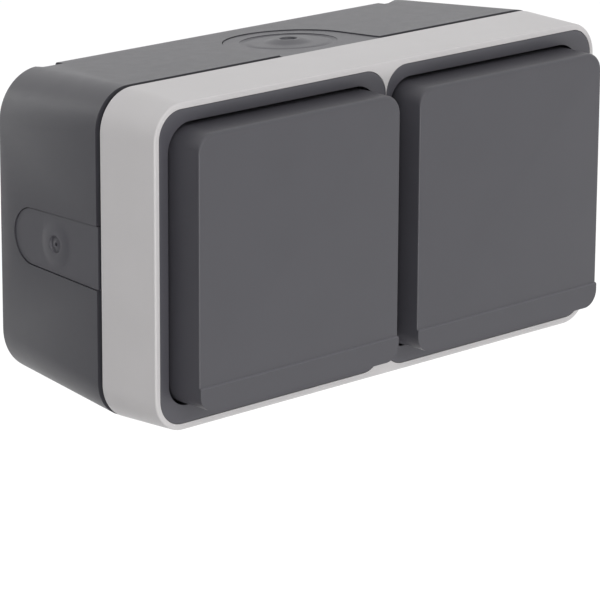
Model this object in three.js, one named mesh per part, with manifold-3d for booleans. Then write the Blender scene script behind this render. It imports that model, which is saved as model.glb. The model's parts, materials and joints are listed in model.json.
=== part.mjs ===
// Two-gang surface-mounted socket outlet with self-closing hinged lids, splash-proof pattern.
// Millimetres. +X right, +Y into the wall, +Z up. The origin is the centre of the wall face, so the
// front of the outlet faces -Y. Each gang carries its own socket insert, 71 mm apart.

import * as THREE from 'three';
import { mergeVertices } from 'three/addons/utils/BufferGeometryUtils.js';
import Module from 'manifold-3d';

const wasm = await Module();
wasm.setup();

// ---------------------------------------------------------------- driving dimensions
const GANG_PITCH = 71;          // standard spacing between two gangs
const TOUCH = 0.3;              // working gap between pieces that meet
const CORNER_STEPS = 5;         // straight steps in each rounded corner
const ROUND = 28;               // sides on a large round feature
const SMALL_ROUND = 12;         // sides on a small one

// back box: drafted shell, wider at its mouth than at the wall
const BOX_BACK = { w: 144.0, h: 74.8, r: 12.0 };
const BOX_MOUTH = { w: 149.5, h: 79.4, r: 9.8 };
const BOX_DEPTH = 38.6;
const BOX_WALL = 2.4;
const BOX_FLOOR = 2.6;
const TOP_DRAFT = Math.atan((BOX_MOUTH.h - BOX_BACK.h) / 2 / BOX_DEPTH);
const SIDE_DRAFT = Math.atan((BOX_MOUTH.w - BOX_BACK.w) / 2 / BOX_DEPTH);

// front frame: light ring that carries both socket inserts
const FRAME_BACK_Y = -40.3;
const FRAME_FRONT_Y = -57.97;
const FRAME_FRONT = { w: 147.6, h: 77.9, r: 8.6 };
const FRAME_EDGE = 0.5;
const FRAME_INNER = { w: 141.8, h: 71.4, r: 6.0 };
const SHELF_FRONT_Y = -49.9;
const SHELF_BACK_Y = -48.0;
const SHELF_WIDTH = 2.0;

// bezel of one insert, in gang coordinates with +X towards the outer end of the outlet
const BEZEL = { inner: -35.35, outer: 36.8, h: 74.5, r: 6.6 };
const BEZEL_FRONT_Y = -57.9;
const BEZEL_BACK_Y = -51.2;
const SLOT_Y = -57.5;
const SLOT = { x0: -33.9, x1: 33.9, z0: -33.6, z1: 34.1, r: 6.4 };
const PLATE_FRONT_Y = -52.8;
const PLATE_BACK_Y = -50.8;

// hinged lid
const LID_FACE_Y = -66.2;
const LID_RIM_Y = -54.5;
const LID_FACE = { x0: -32.15, x1: 32.15, z0: -32.7, z1: 32.9, r: 4.4 };
const LID_RIM = { x0: -32.4, x1: 32.4, z0: -33.0, z1: 33.2, r: 5.6 };
const LID_EDGE = 0.45;          // rounding of the side and bottom edges
const LID_TOP_EDGE = 1.4;       // softer rounding of the top edge
const LID_INNER_Y = LID_FACE_Y + 2.0;
const LID_INSIDE = { x0: -30.4, x1: 30.4, z0: -31.0, z1: 31.1, r: 3.8 };
const GRIP = { halfWidth: 32.1, top: -26.7, bottom: -32.65, proud: 0.4, r: 4.4 };
const RIB = { r0: 21.0, r1: 22.4, y: -57.6 };

// hinge: steel pin through two bezel brackets and four lid lugs
const HINGE = { y: LID_FACE_Y + 4.4, z: 28.6 };
const PIN_R = 0.9;
const PIN_HOLE_R = PIN_R + TOUCH;
const PIN_HALF = 29.9;
const BRACKET = { x: 25.5, w: 4.0, t: 2.0, end: 1.75, foot0: 16.6, foot1: 19.0 };
const LUG = { w: 1.9, gap: 0.4, y0: LID_INNER_Y - 0.4, y1: HINGE.y + 1.9, z0: 26.7, z1: 31.6 };
const SPRING = { x: 13, length: 6, turns: 4.5, r: 1.6, wireR: 0.28 };

// socket well, 39.5 mm across and 17.5 mm deep, with pins on 19 mm centres
const WELL_R = 19.75;
const WELL_DEPTH = 17.5;
const WELL_FRONT_Y = -56.0;
const WELL_FLOOR_Y = WELL_FRONT_Y + WELL_DEPTH;
const WELL_BACK_Y = WELL_FLOOR_Y + 2.4;
const COLLAR_R = 22.6;
const WELL_FLANGE_R = 25.0;
const WELL_WALL_R = 21.4;
const PIN_SPACING = 19;
const PIN_ENTRY_R = 2.75;
const KEY = { x0: 18.3, x1: 20.3, half: 2.4 };
const EARTH_SLOT = { half: 3.4, z0: 17, z1: 21.7, front: -53.5 };

// insert base, contacts and terminals behind the well
const BASE = { w: 45, h: 45, r: 4, front: -34.6, back: -18.5, floor: 2.4 };
const SLEEVE = { r0: 2.6, r1: 3.6, front: -35.6, back: -23.0 };
const TERMINAL = { w: 7, y0: -31, y1: -24, z0: -19, z1: -9 };
const EARTH_TERMINAL = { w: 5.6, y0: -33.4, y1: -27.4, z0: -19, z1: -11 };
const TERMINAL_SCREW = { headR: 2.1, head0: -21.6, head1: -19.4, shankR: 1.25, end: -14.2 };
const WIRE_HOLE_R = 1.6;
const STRAP = { w: 6, t: 0.8, y: -35.35, bendY: -46.5, tipY: -49.4, endY: -52.6, legZ: 20.9, tipZ: 18.4 };

// fixings
const INSERT_SCREW = { x: 27.5, z: 27.5, shankR: 1.25, headR: 2.8, head: 1.4 };
const POST_TOP_Y = -38.2;
const WALL_HOLES = [[-60, -14, 0], [-60, 14, 4], [60, 14, 0], [60, -14, 4]];
const WALL_HOLE_R = 2.3;
const LEVER_NOTCH = { x0: 54.1, x1: 61.2, depth: 0.9, length: 3 };

// slide-in cable entries
const LONG_ENTRY = { half: 16.5, centre: -24.6, mouthHalf: 16.5, lipY: -40.0, steps: 8 };
const SIDE_ENTRY = { half: 6.8, centre: -12.9, mouthHalf: 7.6, lipY: -38.9, nipple: -23.0, steps: 5 };
const ENTRY_LIP = 0.9;
const ENTRY_FLANGE = 1.8;

const COLOURS = {
  housing: [0x5d5d61, 0.55, 0],
  frame: [0xcfcdd1, 0.5, 0],
  rubber: [0x2f2f31, 0.8, 0],
  base: [0xe4e2dc, 0.6, 0],
  brass: [0xc9a24a, 0.35, 1],
  steel: [0xb6b8bb, 0.3, 1],
};

// ---------------------------------------------------------------- solids from three.js shapes
function solid(geometry) {
  geometry.deleteAttribute('normal');
  geometry.deleteAttribute('uv');
  const merged = mergeVertices(geometry, 1e-4);
  return new wasm.Manifold(new wasm.Mesh({
    numProp: 3,
    vertProperties: new Float32Array(merged.attributes.position.array),
    triVerts: new Uint32Array(merged.index.array),
  }));
}

function geometryOf(body) {
  const mesh = body.getMesh();
  const geometry = new THREE.BufferGeometry();
  geometry.setAttribute('position', new THREE.BufferAttribute(mesh.vertProperties, 3));
  geometry.setIndex(new THREE.BufferAttribute(mesh.triVerts, 1));
  geometry.computeVertexNormals();
  return geometry;
}

const join = (...bodies) => bodies.reduce((all, body) => all.add(body));
const cut = (body, ...tools) => tools.reduce((left, tool) => left.subtract(tool), body);

// Rounded rectangle between x0..x1 and z0..z1, anticlockwise seen from the front.
function outline({ x0, x1, z0, z1, r }) {
  const corners = [[x1 - r, z0 + r, -90], [x1 - r, z1 - r, 0], [x0 + r, z1 - r, 90], [x0 + r, z0 + r, 180]];
  const points = [];
  for (const [cx, cz, start] of corners) {
    for (let step = 0; step <= CORNER_STEPS; step += 1) {
      const angle = THREE.MathUtils.degToRad(start + (90 * step) / CORNER_STEPS);
      points.push([cx + r * Math.cos(angle), cz + r * Math.sin(angle)]);
    }
  }
  return points;
}

const centred = ({ w, h, r }) => ({ x0: -w / 2, x1: w / 2, z0: -h / 2, z1: h / 2, r });
const inset = (box, d) => ({
  x0: box.x0 + d, x1: box.x1 - d, z0: box.z0 + d, z1: box.z1 - d, r: Math.max(box.r - d, 0.4),
});

// Solid through rounded rectangles at rising y: stations are [y, box].
function loft(stations) {
  const rings = stations.map(([y, box]) => outline(box).map(([x, z]) => [x, y, z]));
  const count = rings[0].length;
  const positions = rings.flat(2);
  const index = [];
  for (let ring = 0; ring < rings.length - 1; ring += 1) {
    for (let i = 0; i < count; i += 1) {
      const a = ring * count + i;
      const b = ring * count + ((i + 1) % count);
      index.push(a, a + count, b, b, a + count, b + count);
    }
  }
  const last = (rings.length - 1) * count;
  for (let i = 1; i < count - 1; i += 1) {
    index.push(0, i, i + 1, last, last + i + 1, last + i);
  }
  const geometry = new THREE.BufferGeometry();
  geometry.setAttribute('position', new THREE.Float32BufferAttribute(positions, 3));
  geometry.setIndex(index);
  return solid(geometry);
}

const slab = (box, y0, y1) => loft([[y0, box], [y1, box]]);

function block(x0, x1, y0, y1, z0, z1) {
  const geometry = new THREE.BoxGeometry(x1 - x0, y1 - y0, z1 - z0);
  geometry.translate((x0 + x1) / 2, (y0 + y1) / 2, (z0 + z1) / 2);
  return solid(geometry);
}

function rodY(r, y0, y1, x = 0, z = 0, sides = SMALL_ROUND) {
  const geometry = new THREE.CylinderGeometry(r, r, y1 - y0, sides);
  geometry.translate(x, (y0 + y1) / 2, z);
  return solid(geometry);
}

function rodX(r, x0, x1, y, z, sides = SMALL_ROUND) {
  const geometry = new THREE.CylinderGeometry(r, r, x1 - x0, sides);
  geometry.rotateZ(Math.PI / 2);
  geometry.translate((x0 + x1) / 2, y, z);
  return solid(geometry);
}

function rodZ(r, z0, z1, x, y, sides = SMALL_ROUND) {
  const geometry = new THREE.CylinderGeometry(r, r, z1 - z0, sides);
  geometry.rotateX(Math.PI / 2);
  geometry.translate(x, y, (z0 + z1) / 2);
  return solid(geometry);
}

// Turned solid about the Y axis; profile points are [radius, y].
function turned(profile, sides = ROUND) {
  const points = profile.map(([r, y]) => new THREE.Vector2(r, y));
  return solid(new THREE.LatheGeometry(points, sides));
}

// Shape drawn in (y, z), extruded along X.
function plateX(shape, x0, x1) {
  const geometry = new THREE.ExtrudeGeometry(shape, {
    depth: x1 - x0, bevelEnabled: false, curveSegments: 6,
  });
  const [x, y, z] = [new THREE.Vector3(1, 0, 0), new THREE.Vector3(0, 1, 0), new THREE.Vector3(0, 0, 1)];
  geometry.applyMatrix4(new THREE.Matrix4().makeBasis(y, z, x));
  geometry.translate(x0, 0, 0);
  return solid(geometry);
}

// Strip of thickness t that follows a bent line of [y, z] points.
function stripShape(points, t) {
  const line = points.map(([y, z]) => new THREE.Vector2(y, z));
  const side = (sign) => line.map((point, i) => {
    const before = line[Math.max(i - 1, 0)];
    const after = line[Math.min(i + 1, line.length - 1)];
    const a = (i > 0 ? point.clone().sub(before) : after.clone().sub(point)).normalize();
    const b = (i < line.length - 1 ? after.clone().sub(point) : point.clone().sub(before)).normalize();
    const along = a.clone().add(b).normalize();
    const reach = (sign * t) / 2 / Math.max(along.dot(a), 0.5);
    return new THREE.Vector2(point.x - along.y * reach, point.y + along.x * reach);
  });
  return new THREE.Shape([...side(-1), ...side(1).reverse()]);
}

const group = new THREE.Group();

function piece(parent, name, body, finish) {
  const [color, roughness, metalness] = COLOURS[finish];
  const material = new THREE.MeshStandardMaterial({ color, roughness, metalness });
  const mesh = new THREE.Mesh(geometryOf(body), material);
  mesh.name = name;
  parent.add(mesh);
}

// ---------------------------------------------------------------- cable entries
// Outline of a slide-in entry: a round end and straight or flared sides up to the mouth.
// It is drawn in (across, y), and grow widens it all round.
function entryShape(entry, mouthY, grow) {
  const shape = new THREE.Shape();
  const half = entry.half + grow;
  const mouthHalf = entry.mouthHalf + grow;
  shape.moveTo(-mouthHalf, mouthY);
  shape.lineTo(mouthHalf, mouthY);
  shape.lineTo(half, entry.centre);
  shape.absarc(0, entry.centre, half, 0, Math.PI, false);
  return shape;
}

// Plate of an entry outline lying on the z = 0 plane, from z0 up to z1.
function entryPlate(entry, mouthY, grow, z0, z1) {
  const geometry = new THREE.ExtrudeGeometry(entryShape(entry, mouthY, grow), {
    depth: z1 - z0, bevelEnabled: false, curveSegments: entry.steps,
  });
  geometry.translate(0, 0, z0);
  return solid(geometry);
}

// Low cone on an entry plate, about its nipple.
function boss(baseR, topR, z0, z1, y) {
  const geometry = new THREE.CylinderGeometry(topR, baseR, z1 - z0, 24);
  geometry.rotateX(Math.PI / 2);
  geometry.translate(0, y, (z0 + z1) / 2);
  return solid(geometry);
}

// The outer skin of an entry is the plane z = 0; it is turned and moved onto the box afterwards.
function longEntry() {
  const y = LONG_ENTRY.centre;
  const plate = join(
    entryPlate(LONG_ENTRY, -BOX_DEPTH + 0.4, 0, -BOX_WALL - 1, 0),
    entryPlate(LONG_ENTRY, LONG_ENTRY.lipY, 0, -ENTRY_LIP, 0),
    entryPlate(LONG_ENTRY, -BOX_DEPTH + 0.4, ENTRY_FLANGE, -BOX_WALL - 1.5, -BOX_WALL - TOUCH),
  );
  const groove = cut(rodZ(12.4, -0.4, 1, 0, y, ROUND), rodZ(11.5, -1, 2, 0, y, ROUND));
  return cut(join(cut(plate, groove), boss(6.2, 4.4, -0.2, 0.5, y)), rodZ(3.3, -0.5, 1, 0, y, 20));
}

function sideEntry() {
  const y = SIDE_ENTRY.nipple;
  const plate = join(
    entryPlate(SIDE_ENTRY, -BOX_DEPTH + 0.4, 0, -BOX_WALL - 1, 0),
    entryPlate(SIDE_ENTRY, SIDE_ENTRY.lipY, 0, -ENTRY_LIP, 0),
    entryPlate(SIDE_ENTRY, -BOX_DEPTH + 0.4, ENTRY_FLANGE, -BOX_WALL - 1.5, -BOX_WALL - TOUCH),
  );
  return cut(join(plate, boss(4.6, 2.2, -0.2, 0.6, y)), rodZ(0.7, 0.2, 2, 0, y, SMALL_ROUND));
}

// Turns a plate from the z = 0 plane onto the top of the box, following the draft of the wall.
function ontoTop(body) {
  const degrees = THREE.MathUtils.radToDeg(TOP_DRAFT);
  return body.rotate([-degrees, 0, 0]).translate([0, 0, BOX_BACK.h / 2]);
}

// The same onto the left end, so that the plate's X runs along Z.
function ontoLeft(body) {
  const degrees = THREE.MathUtils.radToDeg(SIDE_DRAFT);
  return body.rotate([-degrees, 0, 0]).rotate([0, -90, 0]).translate([-BOX_BACK.w / 2, 0, 0]);
}

// ---------------------------------------------------------------- housing
function backBox() {
  const edge = 0.5;
  const back = centred(BOX_BACK);
  const mouth = centred(BOX_MOUTH);
  const shell = cut(
    loft([[-BOX_DEPTH, mouth], [-edge, back], [0, inset(back, edge)]]),
    loft([[-BOX_DEPTH - 1, inset(mouth, BOX_WALL)], [-BOX_FLOOR, inset(back, BOX_WALL)]]),
  );
  const posts = [];
  const holes = [];
  for (const side of [-1, 1]) {
    for (const end of [-1, 1]) {
      const x = side * (GANG_PITCH / 2) + end * INSERT_SCREW.x;
      const z = side * end * INSERT_SCREW.z;
      posts.push(rodY(3.4, POST_TOP_Y, -BOX_FLOOR + 0.6, x, z));
      holes.push(rodY(INSERT_SCREW.shankR + TOUCH, POST_TOP_Y - 1, POST_TOP_Y + 16, x, z));
    }
  }
  for (const [x, z, slot] of WALL_HOLES) {
    posts.push(rodY(5.2, -BOX_FLOOR - 1.4, -BOX_FLOOR + 0.6, x, z, 24));
    const ends = slot ? [-slot / 2, slot / 2] : [0];
    for (const end of ends) holes.push(rodY(WALL_HOLE_R, -10, 1, x + end, z));
    if (slot) holes.push(block(x - slot / 2, x + slot / 2, -10, 1, z - WALL_HOLE_R, z + WALL_HOLE_R));
  }
  const notchMouth = -BOX_DEPTH - 2;
  const topNotch = entryPlate(LONG_ENTRY, notchMouth, TOUCH, -6, 4);
  const sideNotch = entryPlate(SIDE_ENTRY, notchMouth, TOUCH, -6, 4);
  const notches = [
    ontoTop(topNotch),
    ontoTop(topNotch).rotate([0, 180, 0]),
    ontoLeft(sideNotch),
    ontoLeft(sideNotch).rotate([0, 180, 0]),
  ];
  const wedge = new THREE.Shape([
    new THREE.Vector2(0.5, BOX_BACK.h / 2 - LEVER_NOTCH.depth),
    new THREE.Vector2(0.5, BOX_BACK.h / 2 + 1),
    new THREE.Vector2(-LEVER_NOTCH.length, BOX_BACK.h / 2 + 1),
    new THREE.Vector2(-LEVER_NOTCH.length, BOX_BACK.h / 2 + 0.1),
  ]);
  const leftNotch = plateX(wedge, -LEVER_NOTCH.x1, -LEVER_NOTCH.x0);
  const rightNotch = plateX(wedge, LEVER_NOTCH.x0, LEVER_NOTCH.x1);
  const levers = [leftNotch, rightNotch];
  levers.push(...levers.map((tool) => tool.rotate([0, 180, 0])));
  return cut(join(shell, ...posts), ...holes, ...notches, ...levers);
}

function boxSeal() {
  const mouth = centred(BOX_MOUTH);
  return cut(slab(inset(mouth, 1.2), -40.0, -38.9), slab(inset(mouth, 2.4), -42, -37));
}

// Rim of one insert's bezel about its gang's centre, which is at x; side is -1 for the left gang.
function bezelRim(side, x = 0) {
  const ends = [x + side * BEZEL.inner, x + side * BEZEL.outer];
  return {
    x0: Math.min(...ends), x1: Math.max(...ends), z0: -BEZEL.h / 2, z1: BEZEL.h / 2, r: BEZEL.r,
  };
}

function frontFrame() {
  const front = centred(FRAME_FRONT);
  const back = centred(BOX_MOUTH);
  const inner = centred(FRAME_INNER);
  const outer = loft([
    [FRAME_FRONT_Y, inset(front, FRAME_EDGE)],
    [FRAME_FRONT_Y + 0.2, inset(front, FRAME_EDGE * 0.3)],
    [FRAME_FRONT_Y + FRAME_EDGE, front],
    [FRAME_BACK_Y, back],
  ]);
  const tongue = cut(
    slab(inset(back, BOX_WALL + 0.5), FRAME_BACK_Y - 1, -36.6),
    block(-19.5, 19.5, FRAME_BACK_Y + 0.3, -30, -45, 45),
    block(-80, 80, FRAME_BACK_Y + 0.3, -30, -10.5, 10.5),
  );
  const openings = [];
  for (const side of [-1, 1]) {
    const rim = bezelRim(side, (side * GANG_PITCH) / 2);
    openings.push(slab(inset(rim, -TOUCH), -60, SHELF_FRONT_Y));
    openings.push(slab(inset(rim, SHELF_WIDTH), -60, SHELF_BACK_Y + 1));
  }
  return cut(join(outer, tongue), slab(inner, SHELF_BACK_Y, -30), ...openings);
}

piece(group, 'back_box', backBox(), 'housing');
piece(group, 'box_seal', boxSeal(), 'rubber');
piece(group, 'front_frame', frontFrame(), 'frame');
piece(group, 'entry_top', ontoTop(longEntry()), 'housing');
piece(group, 'entry_bottom', ontoTop(longEntry()).rotate([0, 180, 0]), 'housing');
piece(group, 'entry_left', ontoLeft(sideEntry()), 'housing');
piece(group, 'entry_right', ontoLeft(sideEntry()).rotate([0, 180, 0]), 'housing');

// ---------------------------------------------------------------- one socket insert
function bezel(side) {
  const rim = bezelRim(side);
  const body = join(
    slab(rim, BEZEL_FRONT_Y, BEZEL_BACK_Y),
    slab(inset(rim, 2.6), BEZEL_BACK_Y - 1, PLATE_BACK_Y),
  );
  const funnel = loft([
    [BEZEL_FRONT_Y - 0.2, inset(rim, 0.15)],
    [SLOT_Y, SLOT],
    [PLATE_FRONT_Y, SLOT],
  ]);
  const brackets = [];
  const screwTubes = [];
  const holes = [rodY(COLLAR_R + 0.4, -60, -40, 0, 0, ROUND)];
  for (const end of [-1, 1]) {
    const x = end * BRACKET.x;
    const [x0, x1] = [x - BRACKET.w / 2, x + BRACKET.w / 2];
    brackets.push(
      block(x0, x1, HINGE.y - BRACKET.t / 2, HINGE.y + BRACKET.t / 2, BRACKET.foot0, HINGE.z),
      block(x0, x1, HINGE.y - BRACKET.t / 2, PLATE_FRONT_Y + 1, BRACKET.foot0, BRACKET.foot1),
      rodX(BRACKET.end, x0, x1, HINGE.y, HINGE.z),
    );
    holes.push(rodX(PIN_HOLE_R, x0 - 1, x1 + 1, HINGE.y, HINGE.z, 12));
    const [sx, sz] = [end * INSERT_SCREW.x, side * end * INSERT_SCREW.z];
    screwTubes.push(rodY(4, PLATE_BACK_Y - 0.5, POST_TOP_Y - 0.4, sx, sz));
    holes.push(
      rodY(INSERT_SCREW.shankR + TOUCH, -60, -30, sx, sz),
      rodY(INSERT_SCREW.headR + TOUCH, -60, PLATE_FRONT_Y + INSERT_SCREW.head + 0.5, sx, sz),
    );
  }
  return cut(join(cut(body, funnel), ...brackets, ...screwTubes), ...holes);
}

function bezelSeal(side) {
  const rim = bezelRim(side);
  return cut(slab(inset(rim, 0.1), -50.9, -50.2), slab(inset(rim, 1.9), -52, -49));
}

// How far a rounding of radius r pulls an edge in at some depth behind the face.
const edgePull = (depth, r) => (depth < r ? r - Math.sqrt(r * r - (r - depth) ** 2) : 0);

// Outline of the lid's outside at some depth behind its face.
function lidSection(depth) {
  const t = depth / (LID_RIM_Y - LID_FACE_Y);
  const mix = (key) => LID_FACE[key] + (LID_RIM[key] - LID_FACE[key]) * t;
  const side = edgePull(depth, LID_EDGE);
  return {
    x0: mix('x0') + side,
    x1: mix('x1') - side,
    z0: mix('z0') + side,
    z1: mix('z1') - edgePull(depth, LID_TOP_EDGE),
    r: mix('r') - side,
  };
}

function lid() {
  const depths = [0, 0.12, LID_EDGE, 0.85, LID_TOP_EDGE, LID_RIM_Y - LID_FACE_Y];
  const shell = cut(
    loft(depths.map((depth) => [LID_FACE_Y + depth, lidSection(depth)])),
    loft([[LID_INNER_Y, LID_INSIDE], [LID_RIM_Y + 1, { ...LID_INSIDE, r: 4.2 }]]),
  );
  const grip = new THREE.Shape();
  grip.moveTo(-GRIP.halfWidth, GRIP.top);
  grip.lineTo(-GRIP.halfWidth, GRIP.bottom + GRIP.r);
  grip.absarc(-GRIP.halfWidth + GRIP.r, GRIP.bottom + GRIP.r, GRIP.r, Math.PI, 1.5 * Math.PI, false);
  grip.absarc(GRIP.halfWidth - GRIP.r, GRIP.bottom + GRIP.r, GRIP.r, 1.5 * Math.PI, 2 * Math.PI, false);
  grip.lineTo(GRIP.halfWidth, GRIP.top);
  const band = new THREE.ExtrudeGeometry(grip, {
    depth: GRIP.proud + 1, bevelEnabled: false, curveSegments: 6,
  });
  band.rotateX(Math.PI / 2);
  band.translate(0, LID_FACE_Y + 1, 0);
  const rib = cut(
    rodY(RIB.r1, LID_INNER_Y - 0.5, RIB.y, 0, 0, ROUND),
    rodY(RIB.r0, LID_INNER_Y, RIB.y + 1, 0, 0, ROUND),
  );
  const lugs = [];
  for (const end of [-1, 1]) {
    const reach = BRACKET.w / 2 + LUG.gap;
    for (const from of [reach, -reach - LUG.w]) {
      const x = end * BRACKET.x + from;
      lugs.push(block(x, x + LUG.w, LUG.y0, LUG.y1, LUG.z0, LUG.z1));
    }
  }
  const bore = rodX(PIN_HOLE_R, -PIN_HALF - TOUCH, PIN_HALF + TOUCH, HINGE.y, HINGE.z);
  return cut(join(shell, solid(band), rib, ...lugs), bore);
}

function lidSeal() {
  const y = RIB.y + TOUCH;
  return turned([[20.4, y], [22.5, y], [22.5, y + 0.7], [21.45, y + 1.0], [20.4, y + 0.7], [20.4, y]]);
}

function hingePin() {
  return rodX(PIN_R, -PIN_HALF, PIN_HALF, HINGE.y, HINGE.z);
}

// Torsion spring: a coil round the pin, and its fixed leg down to the bezel's floor plate.
class SpringPath extends THREE.Curve {
  getPoint(t) {
    const angle = 2 * Math.PI * SPRING.turns * t;
    return new THREE.Vector3(
      SPRING.x + SPRING.length * t,
      HINGE.y + SPRING.r * Math.cos(angle),
      HINGE.z + SPRING.r * Math.sin(angle),
    );
  }
}

function wire(curve, r, steps, sides) {
  const section = new THREE.Shape();
  section.absarc(0, 0, r, 0, 2 * Math.PI, false);
  return solid(new THREE.ExtrudeGeometry(section, {
    steps, extrudePath: curve, bevelEnabled: false, curveSegments: sides,
  }));
}

function hingeSpring() {
  const r = SPRING.wireR;
  const coil = wire(new SpringPath(), r, 45, 3);
  const end = new SpringPath().getPoint(1);
  const footZ = (BRACKET.foot0 + BRACKET.foot1) / 2;
  const drop = rodZ(r, footZ - r, end.z + r, end.x, end.y, 8);
  const foot = rodY(r, end.y - r, PLATE_FRONT_Y - TOUCH, end.x, footZ, 8);
  return join(coil, drop, foot);
}

function socketWell() {
  const lip = 0.35;
  const cup = turned([
    [0, WELL_FLOOR_Y],
    [WELL_R, WELL_FLOOR_Y],
    [WELL_R, WELL_FRONT_Y + lip],
    [WELL_R + lip, WELL_FRONT_Y],
    [COLLAR_R - lip, WELL_FRONT_Y],
    [COLLAR_R, WELL_FRONT_Y + lip],
    [COLLAR_R, PLATE_BACK_Y + TOUCH],
    [WELL_FLANGE_R, PLATE_BACK_Y + TOUCH],
    [WELL_FLANGE_R, PLATE_BACK_Y + 2.3],
    [WELL_WALL_R, PLATE_BACK_Y + 2.3],
    [WELL_WALL_R, WELL_BACK_Y],
    [0, WELL_BACK_Y],
  ]);
  const keys = [-1, 1].map((end) => block(
    Math.min(end * KEY.x0, end * KEY.x1), Math.max(end * KEY.x0, end * KEY.x1),
    WELL_FRONT_Y + 0.8, WELL_FLOOR_Y + 0.5, -KEY.half, KEY.half,
  ));
  const holes = [rodY(INSERT_SCREW.shankR + TOUCH, -60, -30)];
  for (const end of [-1, 1]) {
    holes.push(rodY(PIN_ENTRY_R, -60, -30, (end * PIN_SPACING) / 2, 0, 20));
    const [z0, z1] = [end * EARTH_SLOT.z0, end * EARTH_SLOT.z1].sort((a, b) => a - b);
    holes.push(block(-EARTH_SLOT.half, EARTH_SLOT.half, EARTH_SLOT.front, -30, z0, z1));
  }
  return cut(join(cup, ...keys), ...holes);
}

function earthStrap() {
  const half = (sign) => [
    [STRAP.y, 0], [STRAP.y, sign * STRAP.legZ], [STRAP.bendY, sign * STRAP.legZ],
    [STRAP.tipY, sign * STRAP.tipZ], [STRAP.endY, sign * (STRAP.legZ - 0.4)],
  ];
  const strip = (sign) => plateX(stripShape(half(sign), STRAP.t), -STRAP.w / 2, STRAP.w / 2);
  const sides = [-1, 1].map(strip);
  const terminal = cut(
    join(
      block(-EARTH_TERMINAL.w / 2, EARTH_TERMINAL.w / 2, EARTH_TERMINAL.y0, EARTH_TERMINAL.y1,
        EARTH_TERMINAL.z0, EARTH_TERMINAL.z1),
      block(-2, 2, STRAP.y, EARTH_TERMINAL.y0 + 1, EARTH_TERMINAL.z0 + 3, EARTH_TERMINAL.z1 - 1),
    ),
    rodZ(WIRE_HOLE_R, -30, -13, 0, (EARTH_TERMINAL.y0 + EARTH_TERMINAL.y1) / 2),
  );
  return cut(join(...sides, terminal), rodY(INSERT_SCREW.shankR + TOUCH, -37, -34, 0, 0, 12));
}

function contact(side) {
  const x = (side * PIN_SPACING) / 2;
  const middle = (TERMINAL.y0 + TERMINAL.y1) / 2;
  const body = join(
    rodY(SLEEVE.r1, SLEEVE.front, SLEEVE.back, x, 0, 24),
    block(x - 0.7, x + 0.7, -33, TERMINAL.y1, TERMINAL.z1 - 1, -SLEEVE.r0 - 0.3),
    block(x - TERMINAL.w / 2, x + TERMINAL.w / 2, TERMINAL.y0, TERMINAL.y1, TERMINAL.z0, TERMINAL.z1),
  );
  return cut(
    body,
    rodY(SLEEVE.r0, SLEEVE.front - 1, SLEEVE.back + 1, x, 0, 20),
    block(x - 0.35, x + 0.35, SLEEVE.front - 1, SLEEVE.back - 4, 0, 5),
    rodZ(WIRE_HOLE_R, -30, -12, x, middle),
    rodY(1.5, TERMINAL.y0 - 1, TERMINAL.y1 + 1, x, -12.6, 12),
  );
}

function insertBase() {
  const frame = centred(BASE);
  const floor = BASE.back - BASE.floor;
  const pockets = [
    block(-3.6, 3.6, BASE.front - 1, floor, -24, -7),
    rodY(INSERT_SCREW.shankR + TOUCH, -40, floor - 1, 0, 0),
  ];
  for (const end of [-1, 1]) {
    const [x0, x1] = [end * 5.4, end * 14.6];
    pockets.push(block(Math.min(x0, x1), Math.max(x0, x1), BASE.front - 1, floor, -24, 4.4));
    const [w0, w1] = [end * 16.5, end * 20.5];
    pockets.push(block(Math.min(w0, w1), Math.max(w0, w1), BASE.front - 1, floor, -18, 18));
  }
  pockets.push(block(-14, 14, BASE.front - 1, floor, 7, 19));
  return cut(slab(frame, BASE.front, BASE.back), ...pockets);
}

// Screw along +Y with a cross recess; the head's front is at y.
function screwY(x, z, y, headR, head, shankR, length) {
  const body = join(
    rodY(headR, y, y + head, x, z, 20),
    rodY(shankR, y + head - 0.2, y + length, x, z, 12),
  );
  return cut(
    body,
    block(x - headR * 0.6, x + headR * 0.6, y - 1, y + head * 0.55, z - 0.3, z + 0.3),
    block(x - 0.3, x + 0.3, y - 1, y + head * 0.55, z - headR * 0.6, z + headR * 0.6),
  );
}

// Terminal screw pointing up, its slotted head below the terminal.
function terminalScrew(x, y) {
  const { headR, head0, head1, shankR, end } = TERMINAL_SCREW;
  const body = join(rodZ(headR, head0, head1, x, y, 16), rodZ(shankR, head1 - 0.6, end, x, y));
  return cut(body, block(x - 3, x + 3, y - 0.35, y + 0.35, head0 - 1, head0 + 0.9));
}

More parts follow.
